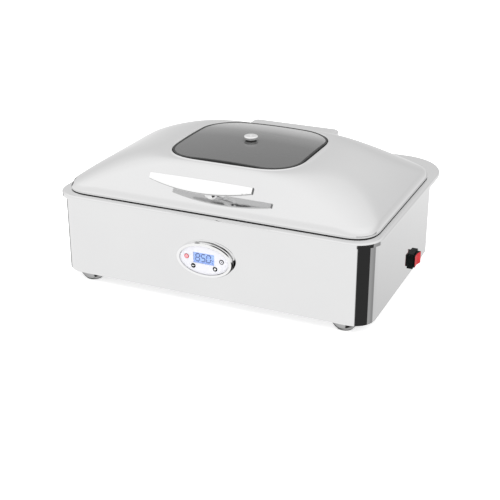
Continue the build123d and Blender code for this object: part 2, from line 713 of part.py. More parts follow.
def handle_bar():
    """Lens-shaped bar: nearly straight above, bellied below, flat-cut ends."""
    top = ThreePointArc((-BAR_HALF_L, BAR_TOP), (0, BAR_TOP + 0.8), (BAR_HALF_L, BAR_TOP))
    low = ThreePointArc((BAR_HALF_L, BAR_END_LOW), (0, BAR_MID_LOW), (-BAR_HALF_L, BAR_END_LOW))
    ends = [Line((side * BAR_HALF_L, BAR_TOP), (side * BAR_HALF_L, BAR_END_LOW)) for side in (-1, 1)]
    bar = extrude(make_face(top + low + ends), amount=BAR_T)
    long_edges = bar.edges().filter_by(GeomType.CIRCLE)
    bar = fillet(long_edges, 2.6)
    bar = Pos(0, 0, HANDLE_STANDOFF - BAR_T) * bar
    return HANDLE * (bar - rod(3.0, 0, HANDLE_STANDOFF - 4))


def handle_post():
    """Turned post: wide foot, waisted stem, flared head under the bar."""
    head = HANDLE_STANDOFF - BAR_T
    outline = Polyline((3.05, -2), (12, -2), (12, 3.5), (9, 7.0))
    waist = Spline((9, 7.0), (7, 22), (8.8, head))
    close = Polyline((8.8, head), (3.05, head), (3.05, -2))
    post = revolve(Plane.XZ * make_face(outline + waist + close), Axis.Z)
    return HANDLE * post - lid_form(0, 0)


def handle_screw():
    """Machine screw from inside the lid through a wide washer and the post into the bar."""
    low = -3.7
    screw = Pos(0, 0, low) * Rot(180, 0, 0) * pan_screw(2.95, HANDLE_STANDOFF - 4.5 - low, 6, 3.5)
    washer = rod(11, low + 0.05, low + 1.5) - rod(3.0, -10, 5)
    return group([HANDLE * screw, HANDLE * washer])


# --- hinge -----------------------------------------------------------------------------

def hinge_base():
    """Foot plate on the rear ledge with two pairs of upright knuckles."""
    plate = block(2 * 80, 38, 2.2, (0, 223, RIM_Z1 + 1.1))
    base = plate
    for side in (-1, 1):
        for low, high in ROOT_KNUCKLES:
            middle = side * (low + high) / 2
            base += rod_x(KNUCKLE_R, middle - 8, middle + 8, HINGE_Y, HINGE_Z)
            base += block(16, 9, HINGE_Z - RIM_Z1, (middle, HINGE_Y + 3, (HINGE_Z + RIM_Z1) / 2))
    base -= rod_x(PIN_R, -100, 100, HINGE_Y, HINGE_Z)
    for x, y in hinge_screw_places():
        base -= rod(2.6, 160, 180, x, y)
        base -= Pos(x, y, RIM_Z1 + 2.2 - 1.2) * Cone(2.6, 5.2, 2.4)
    return base


def hinge_backing_plate():
    plate = block(2 * 80, 26, 2, (0, HINGE_SCREW_Y, RIM_Z1 - SHEET - 1))
    for x, y in hinge_screw_places():
        plate -= rod(2.6, 160, 180, x, y)
    return plate


def hinge_screws():
    z = RIM_Z1 + 2.2
    screw = rod(2.5, z - 16, z - 1) + Pos(0, 0, z - 1.2) * Cone(2.5, 4.9, 2.2)
    nut = Pos(0, 0, RIM_Z1 - SHEET - 2 - 4) * hex_nut(8, 4, 2.5)
    return group([Pos(x, y, 0) * piece for x, y in hinge_screw_places() for piece in (screw, nut)])


def hinge_pin():
    return rod_x(PIN_R, -PIN_HALF_L, PIN_HALF_L, HINGE_Y, HINGE_Z)


def pin_caps():
    """Press-on caps that keep the pin in its knuckles."""
    caps = []
    for side in (-1, 1):
        cap = rod_x(6.5, 73, PIN_HALF_L + 2, HINGE_Y, HINGE_Z)
        cap -= rod_x(PIN_R, 60, PIN_HALF_L, HINGE_Y, HINGE_Z)
        caps.append(cap if side > 0 else mirror(cap, Plane.YZ))
    return group(caps)


def hinge_arms():
    """Two steel arms from the back of the lid to the hinge pin."""
    arms = []
    for side in (-1, 1):
        middle = side * (LID_KNUCKLE[0] + LID_KNUCKLE[1]) / 2
        arm = rod_x(KNUCKLE_R, middle - 7.6, middle + 7.6, HINGE_Y, HINGE_Z)
        arm += block(15.2, 46, 9, (middle, HINGE_Y - 23, HINGE_Z))
        arm -= rod_x(PIN_R + 0.05 + 2.0, -100, 100, HINGE_Y, HINGE_Z)
        arms.append(arm - lid_form(0, 0))
    return group(arms)


def hinge_bushes():
    """Plain bearing in each lid arm, running on the pin."""
    bushes = []
    for side in (-1, 1):
        middle = side * (LID_KNUCKLE[0] + LID_KNUCKLE[1]) / 2
        bush = rod_x(PIN_R + 2.05, middle - 7.6, middle + 7.6, HINGE_Y, HINGE_Z)
        bushes.append(bush - rod_x(PIN_R + 0.05, -100, 100, HINGE_Y, HINGE_Z))
    return group(bushes)


def hood_block(half_w, front_y, rear_y, z0, z1, corner_r, top_r):
    body = block(2 * half_w, rear_y - front_y, z1 - z0, (0, (rear_y + front_y) / 2, (z1 + z0) / 2))
    body = fillet(body.edges().filter_by(Axis.Z).group_by(Axis.Y)[-1], corner_r)
    top = body.faces().sort_by(Axis.Z)[-1].edges()
    return fillet(top.filter_by_position(Axis.Y, front_y + 1, rear_y + 1), top_r)


def hinge_hood():
    """Sheet cover over the hinge: flat top, rounded rear and ends, cut to the lid's slope."""
    front_y = 120.0
    outer = hood_block(HOOD_HALF_W, front_y, HOOD_REAR_Y, HOOD_LOW_Z, HOOD_TOP_Z, 12, 6)
    inner = hood_block(HOOD_HALF_W - HOOD_T, front_y - 10, HOOD_REAR_Y - HOOD_T, 0, HOOD_TOP_Z - HOOD_T,
                       12 - HOOD_T, 6 - HOOD_T)
    return outer - inner - lid_form(0, 0)


def lid_seal():
    """Thin strip inside the lid's lip, just clear of the rim."""
    width = 2 * (LID_HALF_W - LID_WALL_IN)
    depth = LID_FRONT + LID_BACK - 2 * LID_WALL_IN
    centre = (LID_BACK - LID_FRONT) / 2
    ring = prism(width, depth, LID_R - LID_WALL_IN, RIM_Z1 + GAP, LID_EDGE_Z + 2.2, centre)
    ring -= prism(width - 10, depth - 10, LID_R - LID_WALL_IN - 5, 0, 200, centre)
    return ring


# --- everything ------------------------------------------------------------------------

def build():
    """Every piece by node name, in the housing's frame."""
    makers = [
        housing_wrap, base_plate, housing_screws, foot_screws, water_basin, tray_wall,
        tray_floor, heater_plate, heating_element, element_clamps, heat_shield, insulation_blanket,
        temperature_sensor, thermal_cutout, power_board, board_standoffs, board_screws, transformer,
        terminal_block, internal_wiring, earth_stud, control_bezel, bezel_gasket, bezel_nuts,
        face_plate, display_window, lcd_module, control_board, switch_body, switch_terminals, rocker,
        power_inlet, inlet_pins, lid_shell, window_glass, window_gasket,
        steam_vent_knob, vent_seal, vent_nut, handle_bar, handle_post, handle_screw, lid_seal,
        hinge_hood, hinge_arms, hinge_bushes, hinge_base, hinge_pin, pin_caps, hinge_backing_plate,
        hinge_screws,
    ]
    pieces = {maker.__name__: maker() for maker in makers}
    for name, place in BUTTONS.items():
        pieces["button_" + name] = touch_button(place)
    places = corners(FOOT_X, FOOT_Y)
    for name, (x, y) in zip(("front_left", "front_right", "back_left", "back_right"), places):
        pieces["foot_cup_" + name] = Pos(x, y, 0) * foot_cup()
    pieces["foot_pads"] = group([Pos(x, y, 0) * foot_pad() for x, y in places])
    return pieces


def frame_middle(pieces):
    """Middle of the whole object's box, in the housing's frame."""
    boxes = [shape.bounding_box() for shape in pieces.values()]
    x = (min(box.min.X for box in boxes) + max(box.max.X for box in boxes)) / 2
    y = (min(box.min.Y for box in boxes) + max(box.max.Y for box in boxes)) / 2
    return x, y


def main():
    os.makedirs("parts", exist_ok=True)
    pieces = build()
    x, y = frame_middle(pieces)
    for name, shape in pieces.items():
        export_step(Pos(-x, -y, 0) * shape, "parts/" + name + ".step")


if __name__ == "__main__":
    main()
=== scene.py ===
import json
from math import cos, pi, radians, sin

import bmesh
import bpy
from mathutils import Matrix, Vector


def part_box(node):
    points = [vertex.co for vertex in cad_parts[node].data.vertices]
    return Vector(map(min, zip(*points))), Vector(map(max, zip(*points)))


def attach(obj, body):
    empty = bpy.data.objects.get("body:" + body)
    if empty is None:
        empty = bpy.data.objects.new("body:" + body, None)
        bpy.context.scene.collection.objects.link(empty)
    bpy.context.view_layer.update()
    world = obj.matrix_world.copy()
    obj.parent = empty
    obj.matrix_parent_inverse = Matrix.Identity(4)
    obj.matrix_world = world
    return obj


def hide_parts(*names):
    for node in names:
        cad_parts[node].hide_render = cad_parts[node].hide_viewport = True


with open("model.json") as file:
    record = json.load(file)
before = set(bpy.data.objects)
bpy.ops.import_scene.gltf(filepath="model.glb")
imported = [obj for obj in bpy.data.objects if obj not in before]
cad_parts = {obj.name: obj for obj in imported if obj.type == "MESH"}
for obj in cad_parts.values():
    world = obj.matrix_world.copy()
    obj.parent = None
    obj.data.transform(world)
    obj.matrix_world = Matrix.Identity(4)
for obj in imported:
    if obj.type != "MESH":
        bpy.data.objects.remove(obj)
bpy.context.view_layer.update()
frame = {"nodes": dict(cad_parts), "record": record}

# Hot stone heater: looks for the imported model. Metres, +Z up, the control panel faces -Y.

MM = 0.001


# --- places read from the frame ---------------------------------------------------

def box_middle(node):
    low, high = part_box(node)
    return (Vector(low) + Vector(high)) / 2


HOUSING_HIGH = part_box("housing_wrap")[1]
HOUSING_MID = box_middle("housing_wrap")
LID_LOW, LID_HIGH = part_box("lid_shell")
LID_MID = box_middle("lid_shell")
WINDOW_MID = box_middle("window_gasket")
PANEL_LOW, PANEL_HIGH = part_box("control_bezel")
PANEL_MID = box_middle("control_bezel")


# --- camera -----------------------------------------------------------------------

CAMERA_AZIMUTH = radians(24.08)
CAMERA_ELEVATION = radians(23.81)
CAMERA_DISTANCE = 2.0404
CAMERA_LENS = 76.37
CAMERA_ASIDE = 2.76 * MM        # the aim is this far left of the housing's middle
CAMERA_AIM_Z = 30.85 * MM
CAMERA_TARGET = Vector((HOUSING_MID.x - CAMERA_ASIDE, HOUSING_MID.y, CAMERA_AIM_Z))


def add_camera():
    data = bpy.data.cameras.new("camera")
    data.lens = CAMERA_LENS
    data.sensor_width = 36.0
    data.clip_start = 0.05
    data.clip_end = 50.0
    camera = bpy.data.objects.new("camera", data)
    bpy.context.scene.collection.objects.link(camera)
    level = cos(CAMERA_ELEVATION)
    back = Vector((sin(CAMERA_AZIMUTH) * level, -cos(CAMERA_AZIMUTH) * level, sin(CAMERA_ELEVATION)))
    camera.location = CAMERA_TARGET + back * CAMERA_DISTANCE
    camera.rotation_mode = "QUATERNION"
    camera.rotation_quaternion = (-back).to_track_quat("-Z", "Y")
    bpy.context.scene.camera = camera


# --- node helpers -----------------------------------------------------------------

EVEN = (1.0, 1.0, 1.0)
NOISE_MIDDLE = (0.3, 0.7)


def new_material(name):
    material = bpy.data.materials.new(name)
    material.use_nodes = True
    tree = material.node_tree
    return material, tree, tree.nodes["Principled BSDF"]


def set_sockets(shader, **values):
    for name, value in values.items():
        shader.inputs[name.replace("_", " ")].default_value = value


def rgba(red, green, blue):
    return (red, green, blue, 1.0)


def grey(level):
    return rgba(level, level, level)


def math_node(tree, operation, *terms):
    """A maths node; each term is a number or an output socket."""
    node = tree.nodes.new("ShaderNodeMath")
    node.operation = operation
    for socket, term in zip(node.inputs, terms):
        if isinstance(term, (int, float)):
            socket.default_value = term
        else:
            tree.links.new(term, socket)
    return node.outputs["Value"]


def split_axes(tree, vector):
    """The X, Y and Z outputs of a vector."""
    split = tree.nodes.new("ShaderNodeSeparateXYZ")
    tree.links.new(vector, split.inputs["Vector"])
    return split.outputs["X"], split.outputs["Y"], split.outputs["Z"]


def map_range(tree, value, low, high, to_low=0.0, to_high=1.0, kind="LINEAR"):
    ranged = tree.nodes.new("ShaderNodeMapRange")
    ranged.interpolation_type = kind
    ranged.inputs["From Min"].default_value = low
    ranged.inputs["From Max"].default_value = high
    ranged.inputs["To Min"].default_value = to_low
    ranged.inputs["To Max"].default_value = to_high
    tree.links.new(value, ranged.inputs["Value"])
    return ranged.outputs["Result"]


def measured(tree, value, origin, length):
    """How far a value is from an origin, in lengths."""
    return math_node(tree, "DIVIDE", math_node(tree, "SUBTRACT", value, origin), length)


def step_between(tree, value, low, high):
    """0 at low, 1 at high, smooth between."""
    return map_range(tree, value, low, high, kind="SMOOTHSTEP")


def sector(tree, azimuth, low, high, soft):
    """1 between two azimuths in degrees, falling to 0 over soft degrees."""
    rise = step_between(tree, azimuth, radians(low - soft), radians(low + soft))
    fall = step_between(tree, azimuth, radians(high - soft), radians(high + soft))
    return math_node(tree, "SUBTRACT", rise, fall)


def object_noise(tree, scale, stretch=EVEN):
    """Noise in object space, stretched along an axis for brushed grain."""
    place = tree.nodes.new("ShaderNodeTexCoord")
    mapping = tree.nodes.new("ShaderNodeMapping")
    mapping.inputs["Scale"].default_value = stretch
    noise = tree.nodes.new("ShaderNodeTexNoise")
    noise.inputs["Scale"].default_value = scale
    noise.inputs["Detail"].default_value = 3.0
    tree.links.new(place.outputs["Object"], mapping.inputs["Vector"])
    tree.links.new(mapping.outputs["Vector"], noise.inputs["Vector"])
    return noise.outputs["Fac"]


def spread(tree, fac, low, high):
    """Maps the middle of the noise's range, where most of it lies, to a range of values."""
    return map_range(tree, fac, *NOISE_MIDDLE, low, high)


def vary_roughness(tree, shader, scale, low, high):
    tree.links.new(spread(tree, object_noise(tree, scale), low, high), shader.inputs["Roughness"])


def mix_colours(tree, shader, fac, first, second):
    mix = tree.nodes.new("ShaderNodeMix")
    mix.data_type = "RGBA"
    mix.inputs["A"].default_value = first
    mix.inputs["B"].default_value = second
    tree.links.new(fac, mix.inputs["Factor"])
    tree.links.new(mix.outputs["Result"], shader.inputs["Base Color"])


def vary_colour(tree, shader, scale, dark, light):
    mix_colours(tree, shader, spread(tree, object_noise(tree, scale), 0.0, 1.0), rgba(*dark), rgba(*light))


def add_bump(tree, shader, scale, distance, stretch=EVEN):
    bump = tree.nodes.new("ShaderNodeBump")
    bump.inputs["Strength"].default_value = 0.5
    bump.inputs["Distance"].default_value = distance
    tree.links.new(object_noise(tree, scale, stretch), bump.inputs["Height"])
    tree.links.new(bump.outputs["Normal"], shader.inputs["Normal"])


def grey_ramp(tree, fac, stops, kind="LINEAR"):
    """Greys over fac, from pairs of place and level."""
    ramp = tree.nodes.new("ShaderNodeValToRGB")
    ramp.color_ramp.interpolation = kind
    elements = ramp.color_ramp.elements
    while len(elements) < len(stops):
        elements.new(0.5)
    for element, (place, level) in zip(elements, stops):
        element.position = place
        element.color = grey(level)
    tree.links.new(fac, ramp.inputs["Fac"])
    return ramp.outputs["Color"]


# --- materials that most pieces share ---------------------------------------------

def metal(name, dark, light, rough, grain=300.0, stretch=EVEN, bump=0.0):
    material, tree, shader = new_material(name)
    set_sockets(shader, Metallic=1.0)
    vary_colour(tree, shader, 9.0, dark, light)
    vary_roughness(tree, shader, 25.0, *rough)
    if bump:
        add_bump(tree, shader, grain, bump, stretch)
    return material


def plastic(name, dark, light, rough, grain=900.0, bump=0.04 * MM, ior=1.48):
    material, tree, shader = new_material(name)
    set_sockets(shader, Metallic=0.0, IOR=ior)
    vary_colour(tree, shader, 40.0, dark, light)
    vary_roughness(tree, shader, 60.0, *rough)
    add_bump(tree, shader, grain, bump)
    return material


METALS = {
    "polished_steel": dict(dark=(0.825, 0.825, 0.828), light=(0.84, 0.84, 0.84), rough=(0.045, 0.075)),
    "bright_chrome": dict(dark=(0.93, 0.93, 0.935), light=(0.95, 0.95, 0.95), rough=(0.02, 0.04)),
    "satin_steel": dict(dark=(0.6, 0.6, 0.61), light=(0.66, 0.66, 0.66), rough=(0.24, 0.34),
                        grain=260.0, stretch=(1, 14, 14), bump=0.03 * MM),
    "dull_steel": dict(dark=(0.46, 0.46, 0.47), light=(0.54, 0.54, 0.54), rough=(0.32, 0.45),
                       grain=200.0, stretch=(1, 10, 10), bump=0.04 * MM),
    "zinc_steel": dict(dark=(0.55, 0.55, 0.5), light=(0.64, 0.63, 0.58), rough=(0.25, 0.4),
                       grain=500.0, bump=0.02 * MM),
    "cast_aluminium": dict(dark=(0.5, 0.5, 0.5), light=(0.6, 0.6, 0.6), rough=(0.4, 0.55),
                           grain=350.0, bump=0.1 * MM),
    "element_steel": dict(dark=(0.22, 0.19, 0.17), light=(0.32, 0.28, 0.25), rough=(0.35, 0.5),
                          grain=300.0, bump=0.03 * MM),
    "transformer_iron": dict(dark=(0.1, 0.09, 0.08), light=(0.16, 0.15, 0.14), rough=(0.45, 0.6),
                             grain=400.0, stretch=(1, 1, 9), bump=0.1 * MM),
    "brass_part": dict(dark=(0.7, 0.5, 0.2), light=(0.8, 0.6, 0.28), rough=(0.2, 0.3),
                       grain=500.0, bump=0.02 * MM),
}
PLASTICS = {
    "ceramic_fibre": dict(dark=(0.7, 0.68, 0.6), light=(0.82, 0.8, 0.74), rough=(0.85, 0.95),
                          grain=500.0, bump=0.6 * MM),
    "circuit_board": dict(dark=(0.01, 0.14, 0.06), light=(0.02, 0.2, 0.09), rough=(0.3, 0.45)),
    "white_plastic": dict(dark=(0.6, 0.6, 0.635), light=(0.63, 0.63, 0.665), rough=(0.26, 0.36)),
    "dark_plastic": dict(dark=(0.006, 0.006, 0.007), light=(0.01, 0.01, 0.011), rough=(0.36, 0.48), ior=1.3),
    "black_plastic": dict(dark=(0.003, 0.005, 0.0045), light=(0.006, 0.008, 0.0075), rough=(0.4, 0.52),
                          grain=700.0, bump=0.1 * MM, ior=1.22),
    "red_plastic": dict(dark=(0.42, 0.006, 0.012), light=(0.5, 0.01, 0.016), rough=(0.3, 0.42), ior=1.3),
    "bearing_plastic": dict(dark=(0.6, 0.58, 0.5), light=(0.7, 0.68, 0.6), rough=(0.4, 0.5)),
    "black_rubber": dict(dark=(0.018, 0.018, 0.018), light=(0.03, 0.03, 0.03), rough=(0.55, 0.7),
                         grain=800.0, bump=0.1 * MM),
    "wire_insulation": dict(dark=(0.25, 0.04, 0.03), light=(0.32, 0.06, 0.04), rough=(0.45, 0.55)),
    "digit_blue": dict(dark=(0.006, 0.035, 0.17), light=(0.01, 0.045, 0.2), rough=(0.5, 0.6)),
    "icon_red": dict(dark=(0.6, 0.01, 0.03), light=(0.66, 0.015, 0.04), rough=(0.5, 0.6), ior=1.3),
    "icon_dark": dict(dark=(0.004, 0.004, 0.004), light=(0.007, 0.007, 0.007), rough=(0.5, 0.6), ior=1.25),
    "icon_white": dict(dark=(0.85, 0.85, 0.83), light=(0.9, 0.9, 0.88), rough=(0.4, 0.5)),
}


# --- materials of their own -------------------------------------------------------

# Grey of the smoked glass from the front of the window, 0, to its rear, 1: its own dark tint, made paler
# toward the rear by a painted reflection.
SMOKE_AND_PAINTED_REFLECTION_LEVELS = ((0.0, 0.085), (0.55, 0.09), (0.76, 0.15), (0.9, 0.3), (1.0, 0.4))


def smoked_glass():
    """Dark glass with a painted reflection: its colour turns paler toward the rear, standing in for the back
    of the studio mirrored at a flat angle.
    """
    low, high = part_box("window_glass")
    material, tree, shader = new_material("smoked_glass")
    set_sockets(shader, Metallic=0.0, IOR=1.5, Transmission_Weight=0.15)
    place = tree.nodes.new("ShaderNodeTexCoord")
    _, y, _ = split_axes(tree, place.outputs["Object"])
    along = measured(tree, y, low[1], high[1] - low[1])
    along = math_node(tree, "ADD", along, math_node(tree, "MULTIPLY", object_noise(tree, 14.0), 0.03))
    tree.links.new(grey_ramp(tree, along, SMOKE_AND_PAINTED_REFLECTION_LEVELS), shader.inputs["Base Color"])
    vary_roughness(tree, shader, 30.0, 0.03, 0.06)
    return material


def clear_pane():
    material, tree, shader = new_material("clear_pane")
    set_sockets(shader, Metallic=0.0, IOR=1.49, Alpha=0.06)
    vary_colour(tree, shader, 80.0, (0.75, 0.86, 1.0), (0.8, 0.9, 1.0))
    vary_roughness(tree, shader, 90.0, 0.08, 0.14)
    return material


def blue_display():
    material, tree, shader = new_material("blue_display")
    set_sockets(shader, Roughness=0.4, Emission_Strength=0.06, Emission_Color=rgba(0.42, 0.6, 1.0))
    vary_colour(tree, shader, 160.0, (0.2, 0.33, 0.75), (0.24, 0.38, 0.8))
    return material


HANDLE_LEAN = radians(54.4)     # of the bar's broad face from level
HANDLE_OUT = Vector((0.0, -sin(HANDLE_LEAN), cos(HANDLE_LEAN)))
HANDLE_END_CUT = 0.7            # a face whose normal runs along X more than this is an end of the bar
HANDLE_END_PLACE = 0.2          # the ends take the dark part of the ramp
# Painted reflection: grey of the bar by how far a face looks out from the lid, 0 to 1.
HANDLE_PAINTED_REFLECTION_LEVELS = ((0.0, 0.66), (0.05, 0.5), (0.12, 0.04), (0.36, 0.06), (0.62, 0.99))


def handle_painted_reflections():
    """Chrome with a painted reflection, bright on the face that looks out and dark on the lower edge and the
    ends, and a faint painted glow.
    """
    material, tree, shader = new_material("handle_painted_reflections")
    # Painted glow: a faint white emission, though the bar is no lamp.
    set_sockets(shader, Metallic=1.0, Emission_Strength=0.05, Emission_Color=grey(1.0))
    place = tree.nodes.new("ShaderNodeTexCoord")
    dot = tree.nodes.new("ShaderNodeVectorMath")
    dot.operation = "DOT_PRODUCT"
    dot.inputs[1].default_value = HANDLE_OUT
    tree.links.new(place.outputs["Normal"], dot.inputs[0])
    sideways, _, _ = split_axes(tree, place.outputs["Normal"])
    end = math_node(tree, "GREATER_THAN", math_node(tree, "ABSOLUTE", sideways), HANDLE_END_CUT)
    outward = math_node(tree, "MULTIPLY", dot.outputs["Value"], math_node(tree, "SUBTRACT", 1.0, end))
    outward = math_node(tree, "MULTIPLY_ADD", end, HANDLE_END_PLACE, outward)
    # Painted reflection: the bar's grey follows which way each face looks.
    tree.links.new(grey_ramp(tree, outward, HANDLE_PAINTED_REFLECTION_LEVELS), shader.inputs["Base Color"])
    vary_roughness(tree, shader, 30.0, 0.05, 0.09)
    return material


def cup_chrome_painted_shade():
    """Chrome of the feet with painted shade: their edges are darkened, standing in for the dark gap under
    the housing.
    """
    material, tree, shader = new_material("cup_chrome_painted_shade")
    set_sockets(shader, Metallic=1.0)
    facing = tree.nodes.new("ShaderNodeLayerWeight")
    facing.inputs["Blend"].default_value = 0.35
    # Painted shade: grey 0.62 where a face looks toward the view, down to 0.05 at the grazing edges.
    mix_colours(tree, shader, facing.outputs["Facing"], grey(0.62), grey(0.05))
    vary_roughness(tree, shader, 40.0, 0.06, 0.12)
    return material


# Painted dark reflections round the bezel: from, to and softness in degrees, anticlockwise from its right
# end.
BEZEL_UPPER_PAINTED_REFLECTIONS = ((30, 74, 6), (99, 108, 3))
BEZEL_LOWER_PAINTED_REFLECTION = (-58, 4, 6)
BEZEL_PAINTED_REFLECTION_LEVELS = ((0.0, 0.95), (0.5, 0.4), (1.0, 0.015))


def bezel_painted_reflections():
    """Chrome ring with painted dark reflections: its side is darkened in three places round the oval,
    standing in for the dark flats of the studio.
    """
    material, tree, shader = new_material("bezel_painted_reflections")
    set_sockets(shader, Metallic=1.0)
    place = tree.nodes.new("ShaderNodeTexCoord")
    x, _, z = split_axes(tree, place.outputs["Object"])
    across = measured(tree, x, PANEL_MID.x, (PANEL_HIGH[0] - PANEL_LOW[0]) / 2)
    upward = measured(tree, z, PANEL_MID.z, (PANEL_HIGH[2] - PANEL_LOW[2]) / 2)
    around = math_node(tree, "ARCTAN2", upward, across)
    _, toward_back, _ = split_axes(tree, place.outputs["Normal"])
    facing = math_node(tree, "MULTIPLY", toward_back, -1.0)
    side = step_between(tree, facing, 0.8, 0.6)
    shoulder = math_node(tree, "MULTIPLY", step_between(tree, facing, 0.1, 0.25), side)
    upper = math_node(tree, "ADD", *[sector(tree, around, *dark) for dark in BEZEL_UPPER_PAINTED_REFLECTIONS])
    lower = math_node(tree, "MULTIPLY", sector(tree, around, *BEZEL_LOWER_PAINTED_REFLECTION), side)
    dark = math_node(tree, "MULTIPLY_ADD", upper, shoulder, lower)
    # Painted reflection: the dark stretches go into the base colour.
    tree.links.new(grey_ramp(tree, dark, BEZEL_PAINTED_REFLECTION_LEVELS), shader.inputs["Base Color"])
    vary_roughness(tree, shader, 60.0, 0.03, 0.06)
    return material


MATERIALS = {name: metal(name, **look) for name, look in METALS.items()}
MATERIALS.update({name: plastic(name, **look) for name, look in PLASTICS.items()})
MATERIALS.update({make.__name__: make() for make in (smoked_glass, clear_pane, blue_display, handle_painted_reflections,
                                                     cup_chrome_painted_shade, bezel_painted_reflections)})


def dress_cad_nodes():
    """Each node gets its slot's material, apart from those with a colour of their own or with painted
    reflections and shade.
    """
    own = {"handle_bar": "handle_painted_reflections", "control_bezel": "bezel_painted_reflections", "rocker": "black_plastic"}
    own.update({"foot_cup_" + corner: "cup_chrome_painted_shade"
                for corner in ("front_left", "front_right", "back_left", "back_right")})
    for row in frame["record"]["subparts"]:
        piece = frame["nodes"][row["node"]]
        piece.data.materials.clear()
        piece.data.materials.append(MATERIALS[own.get(row["node"], row["material_slot"])])


# --- mesh helpers -----------------------------------------------------------------

def make_piece(name, vertices, faces, look, body, smooth=True):
    """A mesh that rides a body; look names its material."""
    mesh = bpy.data.meshes.new(name)
    mesh.from_pydata([tuple(v) for v in vertices], [], faces)
    mesh.materials.append(MATERIALS[look])
    mesh.validate()
    for polygon in mesh.polygons:
        polygon.use_smooth = smooth
    piece = bpy.data.objects.new(name, mesh)
    bpy.context.scene.collection.objects.link(piece)
    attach(piece, body)
    return piece


def bridge(first, second, count):
    """Faces between two closed rings of the same count."""
    return [(first + i, first + (i + 1) % count, second + (i + 1) % count, second + i) for i in range(count)]


def stack_rings(rings):
    """Vertices and faces of a skin over closed rings."""
    count = len(rings[0])
    vertices = [point for ring in rings for point in ring]
    faces = []
    for step in range(len(rings) - 1):
        faces += bridge(step * count, (step + 1) * count, count)
    return vertices, faces


CORNER_POWER = 2.5          # squarer than a circle, so that flats run softly into corners
CORNER_SWELL = 1.21         # makes that curve pass where the circular corner would
CORNER_STEPS = 22
SIDE_STEPS = 14


def soft_rectangle(half_w, front, back, radius, z, middle):
    """Closed ring round a rectangle with soft corners, anticlockwise from above."""
    reach = min(radius * CORNER_SWELL, half_w - 1 * MM, (front + back) / 2 - 1 * MM)
    arc = []
    for step in range(CORNER_STEPS + 1):
        turn = pi / 2 * step / CORNER_STEPS
        arc.append((cos(turn) ** (2 / CORNER_POWER), sin(turn) ** (2 / CORNER_POWER)))
    centres = [(half_w - reach, back - reach), (-half_w + reach, back - reach),
               (-half_w + reach, -front + reach), (half_w - reach, -front + reach)]
    corner_runs = []
    for quarter, (x, y) in enumerate(centres):
        c, s = round(cos(quarter * pi / 2)), round(sin(quarter * pi / 2))
        corner_runs.append([(x + reach * (c * u - s * v), y + reach * (s * u + c * v)) for u, v in arc])
    ring = []
    for quarter, run in enumerate(corner_runs):
        following = corner_runs[(quarter + 1) % 4][0]
        ring += run
        start = run[-1]
        for step in range(1, SIDE_STEPS):
            part = step / SIDE_STEPS
            ring.append(tuple(start[i] + (following[i] - start[i]) * part for i in (0, 1)))
    return [Vector((middle.x + x, middle.y + y, z)) for x, y in ring]


# --- lid --------------------------------------------------------------------------

LID_AXIS = Vector((LID_MID.x, HOUSING_MID.y, 0))
LID_HALF_W = (LID_HIGH[0] - LID_LOW[0]) / 2
LID_FRONT = LID_AXIS.y - LID_LOW[1]
LID_BACK = LID_HIGH[1] - LID_AXIS.y
LID_EDGE_Z = LID_LOW[2]
LID_TOP_Z = LID_HIGH[2]
LID_SHOULDER_H = 10.6 * MM
LID_TOP_HALF_W = 130 * MM
LID_TOP_FRONT = 128 * MM
LID_TOP_BACK = 125.4 * MM
LID_EDGE_R = 44 * MM
LID_MID_R = 94 * MM
LID_TOP_R = 68 * MM
LID_CURVE_X = 2.17
LID_CURVE_FRONT = 1.6
LID_CURVE_BACK = 1.41
LID_SHEET = 1.2 * MM
DOME_STEPS = 36
DOME_CROWDING = 1.8         # packs the rings closer toward the window
WINDOW_HALF_W = 127 * MM
WINDOW_HALF_D = 118 * MM
WINDOW_R = 64 * MM
# The rolled lip from inside its foot up to its top: height over the edge and inset, in millimetres.
LIP_RINGS = ((0.6, 0.7), (0.0, 0.35), (0.3, 0.0), (1.2, 0.0), (3.1, 0.0), (4.1, 0.0))
# The bead round the window: outset from the opening and rise over the dome, in millimetres.
BEAD_RINGS = ((3.0, 0.1), (2.5, 0.7), (1.8, 1.0), (1.0, 0.9), (0.4, 0.4), (0.1, -0.6), (0.1, -5.0))


def dome_ring(level):
    """Ring of the dome at level 0, the edge, to 1, beside the window."""
    left = 1 - level
    half_w = LID_TOP_HALF_W + (LID_HALF_W - LID_TOP_HALF_W) * left ** (1 / LID_CURVE_X)
    front = LID_TOP_FRONT + (LID_FRONT - LID_TOP_FRONT) * left ** (1 / LID_CURVE_FRONT)
    back = LID_TOP_BACK + (LID_BACK - LID_TOP_BACK) * left ** (1 / LID_CURVE_BACK)
    radius = LID_EDGE_R + (LID_MID_R - LID_EDGE_R) * (1 - left ** 2) - (LID_MID_R - LID_TOP_R) * level ** 6
    low = LID_EDGE_Z + LID_SHOULDER_H
    return soft_rectangle(half_w, front, back, radius, low + (LID_TOP_Z - low) * level, LID_AXIS)


def edge_ring(rise, inset):
    return soft_rectangle(LID_HALF_W - inset, LID_FRONT - inset, LID_BACK - inset, LID_EDGE_R - inset,
                          LID_EDGE_Z + rise, LID_AXIS)


def window_ring(outset, rise):
    offset = LID_AXIS.y - WINDOW_MID.y
    half_d = WINDOW_HALF_D + outset
    return soft_rectangle(WINDOW_HALF_W + outset, half_d + offset, half_d - offset, WINDOW_R + outset,
                          LID_TOP_Z + rise, LID_AXIS)


